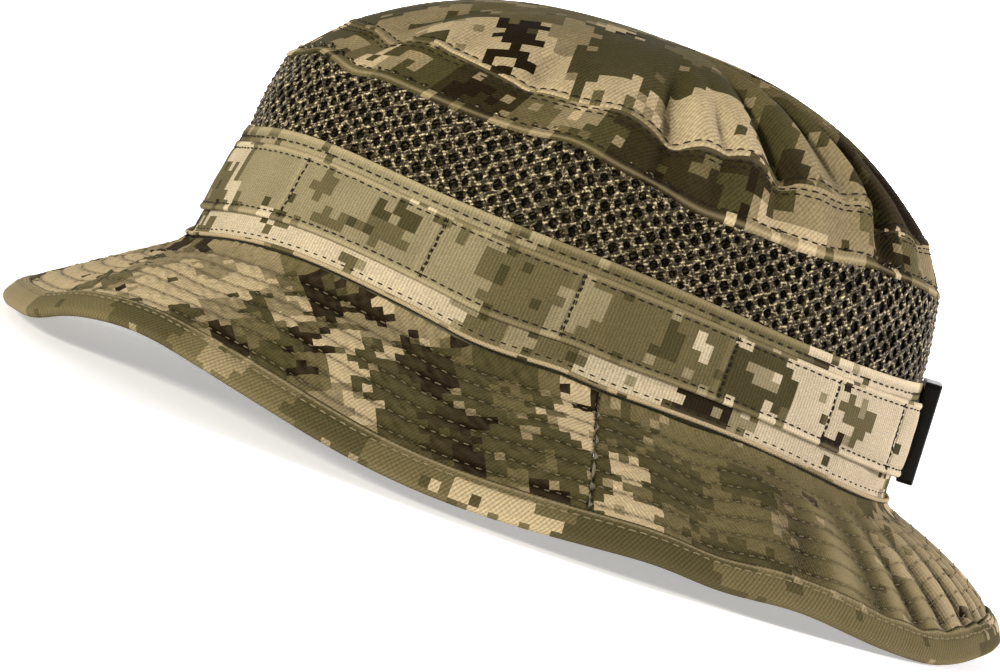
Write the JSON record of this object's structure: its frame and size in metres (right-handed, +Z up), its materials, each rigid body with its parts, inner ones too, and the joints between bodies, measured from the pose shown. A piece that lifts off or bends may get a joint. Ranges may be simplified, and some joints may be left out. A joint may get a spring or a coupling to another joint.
{
  "type": "boonie hat",
  "caption": "Soft field hat with an oval domed crown, a net band for air, a looped foliage band, a stiff quilted brim that droops in waves, and a rear strap with a slide buckle.",
  "frame": {"origin": "on the floor that the brim stands on, under the middle of the brim's outline", "axes": "+Z up through the crown, +Y to the rear of the hat where the adjuster is, -Y to the front, +X to the wearer's left"},
  "size_m": [0.2492, 0.293, 0.1316],
  "materials": {
    "camo_cloth": "matte cotton twill in a sand, olive and dark brown pixel camouflage",
    "camo_band": "fine ribbed band in the same pixel camouflage",
    "net": "olive brown knitted net with round holes, slightly glossy yarn",
    "net_lining": "dark brown knitted net",
    "tape": "matte olive seam tape",
    "thread": "dark olive sewing thread",
    "sweatband_cloth": "matte olive cotton",
    "stiffener": "off-white stiff interlining",
    "strap_webbing": "black ribbed webbing",
    "buckle_plastic": "black moulded plastic, fine matte grain"
  },
  "bodies": {
    "hat": {"crown_top_panel": "camo_cloth", "upper_side_panel": "camo_cloth", "mesh_panel": "net", "mesh_backing": "net_lining", "mesh_lower_binding": "camo_cloth", "mesh_upper_tape": "tape", "crown_seam_tape": "tape", "crown_stitching": "thread", "lower_side_panel": "camo_cloth", "foliage_band": "camo_band", "band_tacks": "thread", "band_stitching": "thread", "sweatband": "sweatband_cloth", "sweatband_tape": "tape", "brim_piping": "camo_cloth", "brim_top_front": "camo_cloth", "brim_top_rear": "camo_cloth", "brim_stiffener_front": "stiffener", "brim_stiffener_rear": "stiffener", "brim_under_front": "camo_cloth", "brim_under_rear": "camo_cloth", "brim_edge_binding": "camo_cloth", "brim_stitching": "thread", "binding_stitching": "thread", "adjuster_strap": "strap_webbing"},
    "buckle": {"adjuster_buckle": "buckle_plastic", "strap_loop": "strap_webbing"}
  },
  "joints": [
    {"name": "buckle_slide", "type": "hinge", "parent": "hat", "child": "buckle", "pos_m": [0, 0.0362, 0.05005], "axis": [0, -0.0506, 0.9987], "range_deg": [-7, 7]}
  ]
}
